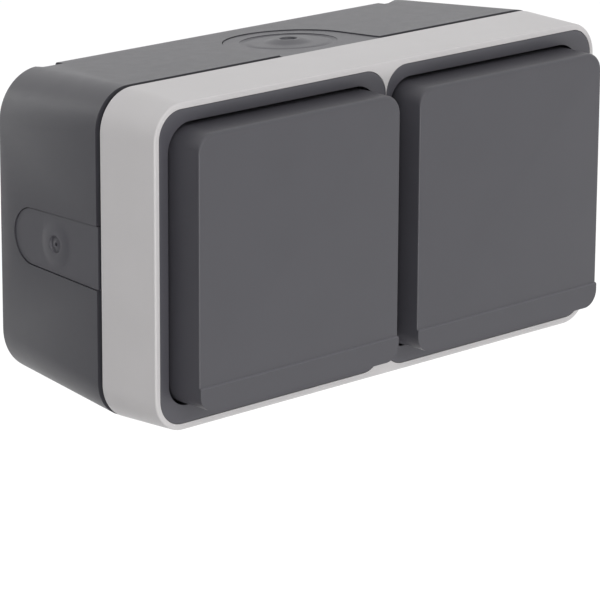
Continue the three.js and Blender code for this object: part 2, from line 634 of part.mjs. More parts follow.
for (const [name, side] of [['left', -1], ['right', 1]]) {
  const gang = new THREE.Group();
  gang.position.x = (side * GANG_PITCH) / 2;
  group.add(gang);
  const add = (part, body, finish) => piece(gang, `${part}_${name}`, body, finish);
  const terminalY = (TERMINAL.y0 + TERMINAL.y1) / 2;
  const earthY = (EARTH_TERMINAL.y0 + EARTH_TERMINAL.y1) / 2;
  add('bezel', bezel(side), 'housing');
  add('bezel_seal', bezelSeal(side), 'rubber');
  add('lid', lid(), 'housing');
  add('lid_seal', lidSeal(), 'rubber');
  add('hinge_pin', hingePin(), 'steel');
  add('hinge_spring', hingeSpring(), 'steel');
  add('socket_well', socketWell(), 'housing');
  add('earth_strap', earthStrap(), 'brass');
  add('contact_line', contact(-1), 'brass');
  add('contact_neutral', contact(1), 'brass');
  add('insert_base', insertBase(), 'base');
  add('centre_screw', screwY(0, 0, WELL_FLOOR_Y - 1.9, 2.6, 1.6, INSERT_SCREW.shankR, 15), 'steel');
  add('terminal_screw_line', terminalScrew(-PIN_SPACING / 2, terminalY), 'steel');
  add('terminal_screw_neutral', terminalScrew(PIN_SPACING / 2, terminalY), 'steel');
  add('terminal_screw_earth', terminalScrew(0, earthY), 'steel');
  for (const [label, end] of [['outer', 1], ['inner', -1]]) {
    const x = side * end * INSERT_SCREW.x;
    const z = end * INSERT_SCREW.z;
    const head = PLATE_FRONT_Y + 0.2;
    add(`insert_screw_${label}`,
      screwY(x, z, head, INSERT_SCREW.headR, INSERT_SCREW.head, INSERT_SCREW.shankR, 26), 'steel');
  }
}

export default group;
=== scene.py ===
"""Looks of a two-gang splash-proof socket outlet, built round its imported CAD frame.

Every helper works in millimetres in the CAD frame: +X right, +Y into the wall, +Z up, with the
origin at the centre of the wall face. A piece is scaled to metres when it is finished.
"""

import json
import math
from dataclasses import dataclass, replace

import bmesh
import bpy
from mathutils import Matrix, Vector


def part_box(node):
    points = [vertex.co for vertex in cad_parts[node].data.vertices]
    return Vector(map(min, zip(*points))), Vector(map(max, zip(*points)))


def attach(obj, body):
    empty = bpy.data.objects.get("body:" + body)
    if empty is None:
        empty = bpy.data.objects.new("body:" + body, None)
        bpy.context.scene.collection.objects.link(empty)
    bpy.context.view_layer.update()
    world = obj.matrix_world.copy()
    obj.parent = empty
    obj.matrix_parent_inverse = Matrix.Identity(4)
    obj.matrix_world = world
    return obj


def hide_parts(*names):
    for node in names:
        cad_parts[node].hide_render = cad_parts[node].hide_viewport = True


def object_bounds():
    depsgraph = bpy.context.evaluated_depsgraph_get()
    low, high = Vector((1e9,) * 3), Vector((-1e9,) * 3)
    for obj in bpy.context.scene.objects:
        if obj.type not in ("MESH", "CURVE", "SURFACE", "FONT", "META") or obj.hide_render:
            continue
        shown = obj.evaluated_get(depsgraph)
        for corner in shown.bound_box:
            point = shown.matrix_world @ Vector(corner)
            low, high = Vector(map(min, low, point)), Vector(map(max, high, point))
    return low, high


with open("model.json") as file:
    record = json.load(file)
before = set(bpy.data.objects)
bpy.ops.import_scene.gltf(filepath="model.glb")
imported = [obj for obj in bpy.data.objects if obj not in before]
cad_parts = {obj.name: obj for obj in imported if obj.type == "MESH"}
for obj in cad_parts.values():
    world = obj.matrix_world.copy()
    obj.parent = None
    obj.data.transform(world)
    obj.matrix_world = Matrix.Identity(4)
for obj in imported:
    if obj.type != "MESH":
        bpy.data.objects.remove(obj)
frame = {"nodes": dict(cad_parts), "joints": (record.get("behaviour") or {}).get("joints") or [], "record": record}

CAD_LOW, CAD_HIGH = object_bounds()
MM = 0.001
SCENE = bpy.context.scene

# ------------------------------------------------------------------ sizes
TOUCH = 0.3                 # gap between pieces that meet
CORNER_STEPS = 16           # straight steps in each rounded corner
ROUND = 96                  # sides of a large round feature
SMALL_ROUND = 32            # sides of a small one

BOX_TAPER_X = 2.75          # how much narrower the box is at the wall, at each end
BOX_TAPER_Z = 2.3           # and at the top and bottom
BOX_MOUTH_R = 9.8
BOX_BACK_R = 12.0
BOX_WALL = 2.4
BOX_FLOOR = 2.6
FRAME_TAPER_X = 0.95
FRAME_TAPER_Z = 0.75
FRAME_FRONT_R = 8.6
FRAME_EDGE = 0.5
FRAME_INNER = (70.9, 35.7)
FRAME_INNER_R = 6.0
FRAME_GAP = 0.12            # gap round each bezel
SHELF_WIDTH = 2.0
SHELF_FRONT_Y = -49.9
SHELF_BACK_Y = -48.0
SEAL_INSET = 1.2
SEAL_WIDTH = 1.2
BEZEL_R = 6.6
BEZEL_FRONT_Y = -57.9
SLOT_Y = -57.55
SLOT_LEFT = -33.9
SLOT_RIGHT = 33.0
SLOT_TOP = 34.1
SLOT_BOTTOM = -33.2
SCREW_BORE_R = 1.55
HINGE_BORE_R = 1.2
SLOT_R = 7.0
SLOT_LOW_R = 5.6            # lower corners, clear of the lid's
PLATE_FRONT_Y = -52.8
PLATE_BACK_Y = -50.8
LID_FACE_Y = -66.2
LID_INNER_Y = -64.2
LID_FACE_HALF = 32.1
LID_FACE_TOP = 32.85
LID_FACE_BOTTOM = -32.65
LID_FLARE = 0.25            # how much wider the lid is at its rim, on each side
LID_TOP_EDGE = 1.0
LID_EDGE = 0.45
LID_CORNER_R = 4.4
LID_CORNER_FLARE = 0.4      # how much larger the upper corners are at the rim
LID_LOW_CORNER_FLARE = 0.6  # and the lower ones
LID_HOLLOW = {"half": 30.4, "bottom": -31.0, "top": 31.1, "r": 3.8, "rim_r": 4.2}
GRIP_HALF = 32.13
GRIP_TOP = -26.7
GRIP_BOTTOM = -32.68
GRIP_R = 4.2
GRIP_PROUD = 0.34
GRIP_SLOPE = 0.3            # height of the slope at its top
RIB_OUTER_R = 22.4
RIB_INNER_R = 21.0
RIB_END_Y = -57.6
LUG_X = (21.2, 23.1, 27.9, 29.8)
BRACKET_X = (23.5, 27.5)
WELL_R = 19.75
COLLAR_R = 22.6
WELL_WALL_R = 21.4
WELL_FLANGE_R = 25.0
PIN_ENTRY_R = 2.75
PIN_HALF_SPACING = 9.5
INSERT_SCREW = 27.5
POST_TOP_Y = -38.2
WALL_HOLES = ((-60, -14, 0), (-60, 14, 4), (60, 14, 0), (60, -14, 4))
WALL_HOLE_R = 2.3
LONG_ENTRY = {"half": 16.5, "mouth": 16.5, "centre": -24.6, "lip": -40.0, "nipple": -24.0}
SIDE_ENTRY = {"half": 6.8, "mouth": 7.6, "centre": -12.9, "lip": -38.9, "nipple": -22.3}
ENTRY_LIP = 0.9
ENTRY_GAP = 0.2
ENTRY_SUNK = 0.28           # depth of an entry's face below the box's surface
NOTCH = {"step": 54.1, "ramp": 58.0, "end": 61.6, "deep": 0.9, "length": 3.0}


@dataclass
class Rect:
    """Rounded rectangle seen from the front."""

    x0: float
    x1: float
    z0: float
    z1: float
    r: float
    low_r: float = 0.0      # radius of the two lower corners where it differs

    def inset(self, d, r=None):
        corner = max(self.r - d, 0.2) if r is None else r
        return Rect(self.x0 + d, self.x1 - d, self.z0 + d, self.z1 - d, corner)


def node_rect(node, r):
    low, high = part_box(node)
    return Rect(low.x / MM, high.x / MM, low.z / MM, high.z / MM, r)


def node_depth(node):
    low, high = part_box(node)
    return low.y / MM, high.y / MM


# ------------------------------------------------------------------ camera and light
CAMERA_AT = Vector((-606.34, -662.55, 222.36)) * MM
CAMERA_YAW = 0.7631
CAMERA_PITCH = 0.2762
CAMERA_ROLL = 0.005
LENS = 220.17
FLOOR_DROP = 0.6            # metres
CARD_HALF = 0.6             # unseen cards on the left dim what the left faces reflect
CARD_GREY = 0.2
SIDE_GREY = 0.34            # the card straight to the left is lighter


def add_camera():
    level = Vector((math.sin(CAMERA_YAW), math.cos(CAMERA_YAW), 0))
    right = Vector((math.cos(CAMERA_YAW), -math.sin(CAMERA_YAW), 0))
    ahead = level * math.cos(CAMERA_PITCH) - Vector((0, 0, math.sin(CAMERA_PITCH)))
    up = right.cross(ahead)
    tilt_right = right * math.cos(CAMERA_ROLL) + up * math.sin(CAMERA_ROLL)
    tilt_up = up * math.cos(CAMERA_ROLL) - right * math.sin(CAMERA_ROLL)
    data = bpy.data.cameras.new("camera")
    data.lens = LENS
    data.sensor_width = 36
    data.clip_start = 0.05
    data.clip_end = 50
    camera = bpy.data.objects.new("camera", data)
    SCENE.collection.objects.link(camera)
    turn = Matrix((tilt_right, tilt_up, -ahead)).transposed().to_4x4()
    camera.matrix_world = Matrix.Translation(CAMERA_AT) @ turn
    SCENE.camera = camera


def add_light(name, at, aim, size, power):
    data = bpy.data.lights.new(name, "AREA")
    data.shape = "DISK"
    data.size = size
    data.energy = power
    light = bpy.data.objects.new(name, data)
    SCENE.collection.objects.link(light)
    light.visible_camera = False
    light.location = at
    light.rotation_mode = "QUATERNION"
    light.rotation_quaternion = (Vector(aim) - Vector(at)).to_track_quat("-Z", "Y")


def add_studio():
    world = bpy.data.worlds.new("studio")
    world.use_nodes = True
    background = world.node_tree.nodes["Background"]
    background.inputs["Color"].default_value = (1, 1, 1, 1)
    background.inputs["Strength"].default_value = 1.05
    SCENE.world = world
    SCENE.view_settings.view_transform = "Standard"
    add_light("front_panel", (-0.3, -2.0, 0.8), (0, 0, 0), 1.6, 5)
    add_light("edge_light", (-1.35, -1.3, -0.45), (0, 0, 0), 0.35, 9.5)
    add_light("rear_light", (-0.8, 2.0, 0.1), (0, 0, 0), 1.8, 15)
    add_light("top_light", (-0.4, -1.3, 1.5), (0, 0, 0), 0.4, 3)
    floor_z = CAD_LOW.z - FLOOR_DROP
    add_card("floor", 0.97, (0, 0, floor_z), (6, 0, 0), (0, 6, 0))
    middle_z = floor_z + CARD_HALF
    cards = [
        add_card("rear_card", CARD_GREY, (-0.9, 0.94, middle_z), (0.4, 0.4, 0), (0, 0, CARD_HALF)),
        add_card("side_card", SIDE_GREY, (-1.3, 0.05, middle_z), (0, 0.6, 0), (0, 0, CARD_HALF)),
        add_card("low_card", CARD_GREY, (-0.33, 0.06, -0.32), (0.24, 0, 0), (0, 0.24, 0)),
    ]
    for card in cards:
        card.visible_camera = False


def add_card(name, grey, centre, right, up):
    """Plain matt rectangle; right and up reach from its centre to its edges, in metres."""
    centre, right, up = Vector(centre), Vector(right), Vector(up)
    corners = [centre - right - up, centre + right - up, centre + right + up, centre - right + up]
    card = new_object(name, corners, [(0, 1, 2, 3)])
    material = bpy.data.materials.new(f"matt_{name}")
    material.use_nodes = True
    shader = material.node_tree.nodes["Principled BSDF"]
    shader.inputs["Base Color"].default_value = (grey, grey, grey, 1)
    shader.inputs["Roughness"].default_value = 0.9
    shader.inputs["Specular IOR Level"].default_value = 0.1
    card.data.materials.append(material)
    return card


# ------------------------------------------------------------------ solids
def new_object(name, points, faces):
    mesh = bpy.data.meshes.new(name)
    mesh.from_pydata(points, [], faces)
    mesh.update()
    obj = bpy.data.objects.new(name, mesh)
    SCENE.collection.objects.link(obj)
    return obj


def outline(rect, steps=CORNER_STEPS):
    """Points of a rounded rectangle, anticlockwise seen from the front."""
    high, low = rect.r, rect.low_r or rect.r
    corners = (
        (rect.x1 - low, rect.z0 + low, -90, low),
        (rect.x1 - high, rect.z1 - high, 0, high),
        (rect.x0 + high, rect.z1 - high, 90, high),
        (rect.x0 + low, rect.z0 + low, 180, low),
    )
    points = []
    for cx, cz, start, r in corners:
        for step in range(steps + 1):
            angle = math.radians(start + 90 * step / steps)
            points.append((cx + r * math.cos(angle), cz + r * math.sin(angle)))
    return points


def tube_faces(count, rings):
    faces = []
    for ring in range(rings - 1):
        for i in range(count):
            a = ring * count + i
            b = ring * count + (i + 1) % count
            faces.append((a, a + count, b + count, b))
    return faces


def loft(stations, steps=CORNER_STEPS):
    """Closed solid through rounded rectangles at rising y; stations are (y, rect)."""
    points = [(x, y, z) for y, rect in stations for x, z in outline(rect, steps)]
    count = 4 * (steps + 1)
    faces = tube_faces(count, len(stations))
    faces.append(tuple(range(count)))
    last = (len(stations) - 1) * count
    faces.append(tuple(reversed(range(last, last + count))))
    return new_object("solid", points, faces)


def slab(rect, y0, y1):
    return loft([(y0, rect), (y1, rect)])


def prism(points, w0, w1, place):
    """Extrudes a flat outline; place turns (u, v, w) into a point of the model."""
    count = len(points)
    corners = [place(u, v, w0) for u, v in points] + [place(u, v, w1) for u, v in points]
    faces = [(i, (i + 1) % count, count + (i + 1) % count, count + i) for i in range(count)]
    faces.append(tuple(reversed(range(count))))
    faces.append(tuple(range(count, 2 * count)))
    obj = new_object("solid", corners, faces)
    return face_outwards(obj)


def face_outwards(obj):
    work = bmesh.new()
    work.from_mesh(obj.data)
    bmesh.ops.recalc_face_normals(work, faces=work.faces)
    work.to_mesh(obj.data)
    work.free()
    return obj


def block(x0, x1, y0, y1, z0, z1):
    return prism([(x0, z0), (x1, z0), (x1, z1), (x0, z1)], y0, y1, lambda u, v, w: (u, w, v))


def turned(profile, place, sides=ROUND):
    """Solid turned about a line; profile is (radius, along), and its ends lie on the axis
    or meet. place turns (radius, angle, along) into a point of the model."""
    closed = profile[0] == profile[-1]
    rows = profile[:-1] if closed else profile
    points, index = [], []
    for radius, along in rows:
        if radius < 1e-6:
            index.append([len(points)] * sides)
            points.append(place(0, 0, along))
            continue
        index.append([len(points) + i for i in range(sides)])
        points += [place(radius, 2 * math.pi * i / sides, along) for i in range(sides)]
    pairs = list(zip(index, index[1:]))
    if closed:
        pairs.append((index[-1], index[0]))
    faces = []
    for a, b in pairs:
        for i in range(sides):
            j = (i + 1) % sides
            corners = []
            for corner in (a[i], a[j], b[j], b[i]):
                if corner not in corners:
                    corners.append(corner)
            if len(corners) > 2:
                faces.append(tuple(corners))
    return face_outwards(new_object("solid", points, faces))


def about_y(x=0.0, z=0.0):
    return lambda r, a, t: (x + r * math.cos(a), t, z + r * math.sin(a))


def about_x(y, z):
    return lambda r, a, t: (t, y + r * math.cos(a), z + r * math.sin(a))


def about_z(x, y):
    return lambda r, a, t: (x + r * math.cos(a), y + r * math.sin(a), t)


def rod(r, t0, t1, place, sides=SMALL_ROUND, chamfer=0.0):
    profile = [(0, t0), (r - chamfer, t0)]
    if chamfer:
        profile += [(r, t0 + chamfer), (r, t1 - chamfer)]
    profile += [(r - chamfer, t1), (0, t1)]
    return turned(profile, place, sides)


def fillet(points, radius, steps=5):
    """Rounds the inner corners of an open (radius, along) profile."""
    line = [Vector(p) for p in points]
    soft = [line[0]]
    for before, corner, after in zip(line, line[1:], line[2:]):
        a, b = before - corner, after - corner
        reach = min(radius, a.length * 0.49, b.length * 0.49)
        start, end = corner + a.normalized() * reach, corner + b.normalized() * reach
        for step in range(steps + 1):
            t = step / steps
            soft.append(start * (1 - t) ** 2 + corner * 2 * t * (1 - t) + end * t**2)
    soft.append(line[-1])
    return [tuple(p) for p in soft]


def bake(obj):
    """Makes the modifiers' result the object's own mesh."""
    graph = bpy.context.evaluated_depsgraph_get()
    mesh = bpy.data.meshes.new_from_object(obj.evaluated_get(graph))
    obj.modifiers.clear()
    obj.data = mesh
    return obj


def combine(target, operation, tools):
    for tool in tools:
        modifier = target.modifiers.new("combine", "BOOLEAN")
        modifier.operation = operation
        modifier.object = tool
        modifier.solver = "EXACT"
        bake(target)
        bpy.data.objects.remove(tool)
    return target


def cut(target, *tools):
    return combine(target, "DIFFERENCE", tools)


def join(target, *tools):
    return combine(target, "UNION", tools)


def merge(target, *parts):
    """Adds the parts' meshes to the target's as they are."""
    work = bmesh.new()
    for part in (target, *parts):
        work.from_mesh(part.data)
    work.to_mesh(target.data)
    work.free()
    for part in parts:
        bpy.data.objects.remove(part)
    return target


def moved(obj, matrix):
    obj.data.transform(matrix)
    if matrix.to_3x3().determinant() < 0:
        obj.data.flip_normals()
    return obj


def piece(obj, name, body, material, nodes=(), edge=0.2, segments=3, smooth=35):
    """Names a solid, softens its edges, paints it and fixes it to a CAD body."""
    obj.name = name
    obj.data.name = name
    obj.data.transform(Matrix.Scale(MM, 4))
    obj.data.polygons.foreach_set("use_smooth", [True] * len(obj.data.polygons))
    if edge:
        bevel = obj.modifiers.new("soft edges", "BEVEL")
        bevel.width = edge * MM
        bevel.segments = segments
        bevel.limit_method = "ANGLE"
        bevel.angle_limit = math.radians(smooth)
        bevel.harden_normals = True
    else:
        obj.data.set_sharp_from_angle(angle=math.radians(smooth))
        even = obj.modifiers.new("even shading", "WEIGHTED_NORMAL")
        even.keep_sharp = True
    obj.data.materials.clear()
    obj.data.materials.append(material)
    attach(obj, body)
    if nodes:
        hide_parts(*nodes)
    return obj


# ------------------------------------------------------------------ materials
class Paint:
    """One procedural material, whose patterns all follow the object's own coordinates."""

    def __init__(self, name, roughness, metallic=0.0, ior=1.5, specular=0.5):
        self.material = bpy.data.materials.new(name)
        self.material.use_nodes = True
        self.tree = self.material.node_tree
        self.shader = self.tree.nodes["Principled BSDF"]
        self.shader.inputs["Metallic"].default_value = metallic
        self.shader.inputs["IOR"].default_value = ior
        self.shader.inputs["Specular IOR Level"].default_value = specular
        self.shader.inputs["Roughness"].default_value = roughness
        self.place = self.tree.nodes.new("ShaderNodeTexCoord").outputs["Object"]

    def noise(self, size_mm, detail=2.0, stretch=None):
        node = self.tree.nodes.new("ShaderNodeTexNoise")
        node.inputs["Scale"].default_value = 1 / (size_mm * MM)
        node.inputs["Detail"].default_value = detail
        source = self.place
        if stretch:
            mapping = self.tree.nodes.new("ShaderNodeMapping")
            mapping.inputs["Scale"].default_value = stretch
            self.tree.links.new(source, mapping.inputs["Vector"])
            source = mapping.outputs["Vector"]
        self.tree.links.new(source, node.inputs["Vector"])
        return node.outputs["Fac"]

    def pits(self, size_mm):
        node = self.tree.nodes.new("ShaderNodeTexVoronoi")
        node.feature = "SMOOTH_F1"
        node.inputs["Scale"].default_value = 1 / (size_mm * MM)
        node.inputs["Smoothness"].default_value = 0.6
        self.tree.links.new(self.place, node.inputs["Vector"])
        return node.outputs["Distance"]

    def spread(self, source, low, high, from_low=0.3, from_high=0.7):
        node = self.tree.nodes.new("ShaderNodeMapRange")
        node.inputs["From Min"].default_value = from_low
        node.inputs["From Max"].default_value = from_high
        node.inputs["To Min"].default_value = low
        node.inputs["To Max"].default_value = high
        self.tree.links.new(source, node.inputs["Value"])
        return node.outputs["Result"]

    def ramp(self, source, dark, light):
        node = self.tree.nodes.new("ShaderNodeValToRGB")
        node.color_ramp.elements[0].position = 0.3
        node.color_ramp.elements[1].position = 0.7
        node.color_ramp.elements[0].color = (*dark, 1)
        node.color_ramp.elements[1].color = (*light, 1)
        self.tree.links.new(source, node.inputs["Fac"])
        self.tree.links.new(node.outputs["Color"], self.shader.inputs["Base Color"])

    def bump(self, layers):
        """layers are (height output, strength, depth in mm), finest last."""
        normal = None
        for height, strength, depth in layers:
            node = self.tree.nodes.new("ShaderNodeBump")
            node.inputs["Strength"].default_value = strength
            node.inputs["Distance"].default_value = depth * MM
            self.tree.links.new(height, node.inputs["Height"])
            if normal:
                self.tree.links.new(normal, node.inputs["Normal"])
            normal = node.outputs["Normal"]
        self.tree.links.new(normal, self.shader.inputs["Normal"])

    def rough(self, source):
        self.tree.links.new(source, self.shader.inputs["Roughness"])


def shade(colour, factor):
    return tuple(c * factor for c in colour)


def moulded(name, colour, roughness, variation=0.05, grain=0.5, specular=0.5):
    """Spark-eroded moulded plastic: fine even grain, slight flow mottling."""
    paint = Paint(name, roughness, specular=specular)
    flow = paint.noise(14, detail=4)
    paint.ramp(flow, shade(colour, 1 - variation), shade(colour, 1 + variation))
    paint.rough(paint.spread(paint.noise(3.5, detail=3), roughness - 0.015, roughness + 0.015))
    coarse, fine = paint.pits(0.42), paint.noise(0.16, detail=3)
    paint.bump([(coarse, grain * 0.35, 0.05), (fine, grain, 0.035)])
    return paint.material


def metal(name, colour, roughness, streak):
    paint = Paint(name, roughness, metallic=1.0)
    cloud = paint.noise(1.6, detail=4)
    paint.ramp(cloud, shade(colour, 0.86), shade(colour, 1.08))
    drawn = paint.noise(0.35, detail=3, stretch=streak)
    paint.rough(paint.spread(drawn, roughness - 0.08, roughness + 0.12))
    paint.bump([(drawn, 0.25, 0.02)])
    return paint.material


DARK = (0.0472, 0.0460, 0.0540)
LIGHT = (0.440, 0.427, 0.430)
MATERIALS = {
    "housing": moulded("dark_plastic", DARK, 0.43, variation=0.025),
    # painted light: the bezels use the dark plastic made 1.22 times lighter, standing for light that falls on them
    # beside the lids
    "bezel": moulded("bezel_plastic", shade(DARK, 1.22), 0.43, variation=0.025),
    "frame": moulded("light_plastic", LIGHT, 0.45, variation=0.015, grain=0.35),
    # the entries' soft membrane has its own grain; its tone, 1.15 times the dark plastic, is painted light that
    # brightens their sunken faces
    "membrane": moulded("soft_membrane_painted_light", shade(DARK, 1.15), 0.43, variation=0.025, grain=0.4),
    # painted highlight: the grip-edge strips get a lighter copy of the dark plastic, standing for light caught by
    # each grip's top edge, not for wear
    "painted_highlight": moulded("painted_highlight_plastic", shade(DARK, 1.45), 0.38, variation=0.05, grain=0.2),
    "seal": moulded("black_rubber", (0.022, 0.022, 0.024), 0.75, specular=0.3),
    "base": moulded("ivory_thermoset", (0.70, 0.67, 0.60), 0.45, variation=0.03, grain=0.4),
    "brass": metal("rolled_brass", (0.80, 0.60, 0.27), 0.3, (1, 8, 1)),
    "steel": metal("zinc_steel", (0.62, 0.63, 0.65), 0.34, (6, 1, 1)),
}


# ------------------------------------------------------------------ cable entries
def entry_outline(entry, mouth_y, grow, steps=40):
    """Outline in (across, y): round end towards the wall, straight sides to the mouth."""
    half, mouth = entry["half"] + grow, entry["mouth"] + grow
    points = [(-mouth, mouth_y), (mouth, mouth_y)]
    for step in range(steps + 1):
        angle = math.pi * step / steps
        points.append((half * math.cos(angle), entry["centre"] + half * math.sin(angle)))
    return points


def entry_plate(entry, mouth_y, grow, w0, w1):
    return prism(entry_outline(entry, mouth_y, grow), w0, w1, lambda u, v, w: (u, v, w))


def entry_solid(entry, mouth_y):
    inner_y = mouth_y + 0.4
    return join(
        entry_plate(entry, inner_y, 0, -BOX_WALL - 1, -ENTRY_SUNK),
        entry_plate(entry, entry["lip"], 0, -ENTRY_LIP, -ENTRY_SUNK),
        entry_plate(entry, inner_y, 1.8, -BOX_WALL - 1.5, -BOX_WALL - TOUCH),
    )


def entry_with(entry, mouth_y, hole_r, profile):
    """Sets a turned profile, whose heights are from the sunken face, into an entry's plate."""
    centre = about_z(0, entry["nipple"])
    plate = cut(entry_solid(entry, mouth_y), rod(hole_r, -6, 3, centre, ROUND))
    face = [(r, height - ENTRY_SUNK) for r, height in profile]
    edge_r, stem_r, back = profile[-1][0], hole_r + 0.2, -BOX_WALL - 1.1
    under = [(edge_r, -ENTRY_SUNK - 0.3), (stem_r, -ENTRY_SUNK - 0.5), (stem_r, back), (0, back)]
    return merge(plate, turned(face + under, centre))


def long_entry(mouth_y):
    """Wide entry: a soft round groove, and inside it a membrane with a low pitted boss."""
    boss = fillet([(0, 0.3), (2.1, 0.2), (2.25, 0.72), (3.0, 0.76), (3.7, 0.6)], 0.12)
    skirt = fillet([(3.7, 0.6), (5.9, -0.02), (9.8, -0.06), (11.1, -0.45), (12.3, 0.005),
                    (13.6, 0.005)], 0.8)
    return entry_with(LONG_ENTRY, mouth_y, 12.0, boss + skirt[1:])


def side_entry(mouth_y):
    """Narrow entry: a soft round swelling with a shallow well and a pierced tip."""
    well = fillet([(0, -0.9), (0.42, -0.9), (0.46, -0.02), (1.0, -0.12), (1.95, -0.3),
                   (2.12, 0.18), (2.7, 0.2)], 0.08)
    skirt = fillet([(2.7, 0.2), (3.9, 0.15), (5.4, 0.02), (6.4, 0.004)], 1.1)
    return entry_with(SIDE_ENTRY, mouth_y, 5.4, well + skirt[1:])


def wall_turns():
    """How a flat entry plate is laid on each side of the box, following its draft."""
    mouth = node_rect("back_box", BOX_MOUTH_R)
    depth = -node_depth("back_box")[0]
    up = Matrix.Translation((0, 0, mouth.z1 - BOX_TAPER_Z))
    left = Matrix.Translation((mouth.x0 + BOX_TAPER_X, 0, 0))
    over = Matrix.Rotation(math.pi, 4, "Y")
    quarter = Matrix.Rotation(-math.pi / 2, 4, "Y")
    top = up @ Matrix.Rotation(-math.atan(BOX_TAPER_Z / depth), 4, "X")
    side = left @ quarter @ Matrix.Rotation(-math.atan(BOX_TAPER_X / depth), 4, "X")
    return {"top": top, "bottom": over @ top, "left": side, "right": over @ side}


# ------------------------------------------------------------------ housing
def make_box():
    mouth = node_rect("back_box", BOX_MOUTH_R)
    front_y = node_depth("back_box")[0]
    back = Rect(mouth.x0 + BOX_TAPER_X, mouth.x1 - BOX_TAPER_X,
                mouth.z0 + BOX_TAPER_Z, mouth.z1 - BOX_TAPER_Z, BOX_BACK_R)
    shell = loft([
        (front_y, mouth), (-0.7, back), (-0.35, back.inset(0.1)), (-0.1, back.inset(0.35)),
        (0, back.inset(0.7)),
    ])
    hollow = loft([(front_y - 1, mouth.inset(BOX_WALL)), (-BOX_FLOOR, back.inset(BOX_WALL))])
    cut(shell, hollow)
    tools = []
    for side in (-1, 1):
        for end in (-1, 1):
            x = side * 35.5 + end * INSERT_SCREW
            post = about_y(x, side * end * INSERT_SCREW)
            join(shell, rod(3.4, POST_TOP_Y, -BOX_FLOOR + 0.6, post))
            tools.append(rod(SCREW_BORE_R, POST_TOP_Y - 1, POST_TOP_Y + 16, post))
    for x, z, slot in WALL_HOLES:
        join(shell, rod(5.2, -BOX_FLOOR - 1.4, -BOX_FLOOR + 0.6, about_y(x, z)))
        hole = Rect(x - WALL_HOLE_R - slot / 2, x + WALL_HOLE_R + slot / 2,
                    z - WALL_HOLE_R, z + WALL_HOLE_R, WALL_HOLE_R - 0.001)
        tools.append(slab(hole, -10, 1))
    for where, turn in wall_turns().items():
        entry = LONG_ENTRY if where in ("top", "bottom") else SIDE_ENTRY
        tools.append(moved(entry_plate(entry, front_y - 2, ENTRY_GAP, -6, 4), turn))
    for flip in (-1, 1):
        for end in (-1, 1):
            tools.append(lever_notch(back.z1, end, flip))
    cut(shell, *tools)
    return piece(shell, "box_shell", "housing", MATERIALS["housing"], ["back_box"],
                 edge=0.18)


def lever_notch(top_z, end, flip):
    """Wedge to cut out of the rear edge for a lever: steep at one end, a ramp at the other."""
    points = []
    for y, floor_z in ((0.5, top_z - NOTCH["deep"]), (-NOTCH["length"], top_z + 0.12)):
        for x, z in ((NOTCH["step"], floor_z), (NOTCH["ramp"], floor_z),
                     (NOTCH["end"], top_z + 0.2), (NOTCH["end"], top_z + 1),
                     (NOTCH["step"], top_z + 1)):
            points.append((end * x, y, flip * z))
    faces = [(i, (i + 1) % 5, 5 + (i + 1) % 5, 5 + i) for i in range(5)]
    faces += [tuple(range(5)), tuple(range(5, 10))]
    return face_outwards(new_object("wedge", points, faces))


def make_box_seal():
    rect = node_rect("back_box", BOX_MOUTH_R).inset(SEAL_INSET)
    y0, y1 = node_depth("box_seal")
    ring = cut(slab(rect, y0 - 0.1, y1 + 0.1), slab(rect.inset(SEAL_WIDTH), y0 - 2, y1 + 2))
    return piece(ring, "box_gasket", "housing", MATERIALS["seal"], ["box_seal"], edge=0.3)


def bezel_rect(side):
    return node_rect("bezel_left" if side < 0 else "bezel_right", BEZEL_R)


def make_frame():
    back = node_rect("front_frame", BOX_MOUTH_R)
    front_y = node_depth("front_frame")[0]
    back_y = node_depth("box_seal")[0] - TOUCH
    front = Rect(back.x0 + FRAME_TAPER_X, back.x1 - FRAME_TAPER_X,
                 back.z0 + FRAME_TAPER_Z, back.z1 - FRAME_TAPER_Z, FRAME_FRONT_R)
    stations = []
    for step in range(7):
        angle = math.pi / 2 * step / 6
        inset = FRAME_EDGE * (1 - math.sin(angle))
        stations.append((front_y + FRAME_EDGE * (1 - math.cos(angle)), front.inset(inset)))
    stations.append((back_y, back))
    shell = loft(stations)
    tongue = cut(slab(back.inset(BOX_WALL + 0.5), back_y - 1, -36.6),
                 block(-19.5, 19.5, back_y + 0.3, -30, -45, 45),
                 block(-80, 80, back_y + 0.3, -30, -10.5, 10.5))
    half_x, half_z = FRAME_INNER
    inner = Rect(-half_x, half_x, -half_z, half_z, FRAME_INNER_R)
    openings = [slab(inner, SHELF_BACK_Y, -30)]
    for side in (-1, 1):
        openings.append(slab(bezel_rect(side).inset(-FRAME_GAP), -62, SHELF_FRONT_Y))
        openings.append(slab(bezel_rect(side).inset(SHELF_WIDTH), -62, SHELF_BACK_Y + 1))
    cut(join(shell, tongue), *openings)
    return piece(shell, "frame_shell", "housing", MATERIALS["frame"], ["front_frame"],
                 edge=0.22)


def make_housing():
    make_box()
    make_box_seal()
    make_frame()
    mouth_y = node_depth("back_box")[0]
    for where, turn in wall_turns().items():
        maker = long_entry if where in ("top", "bottom") else side_entry
        body = moved(maker(mouth_y), turn)
        piece(body, f"cable_entry_{where}", "housing", MATERIALS["membrane"],
              [f"entry_{where}"], edge=0.15)


# ------------------------------------------------------------------ socket insert
@dataclass
class Gang:
    name: str
    side: int
    x: float
    hinge_y: float
    hinge_z: float


def gangs():
    found = []
    for joint in frame["joints"]:
        x, y, z = (value / MM for value in joint["pos_m"])
        name = joint["name"].split("_")[1]
        found.append(Gang(name, 1 if x > 0 else -1, x, y, z))
    return found


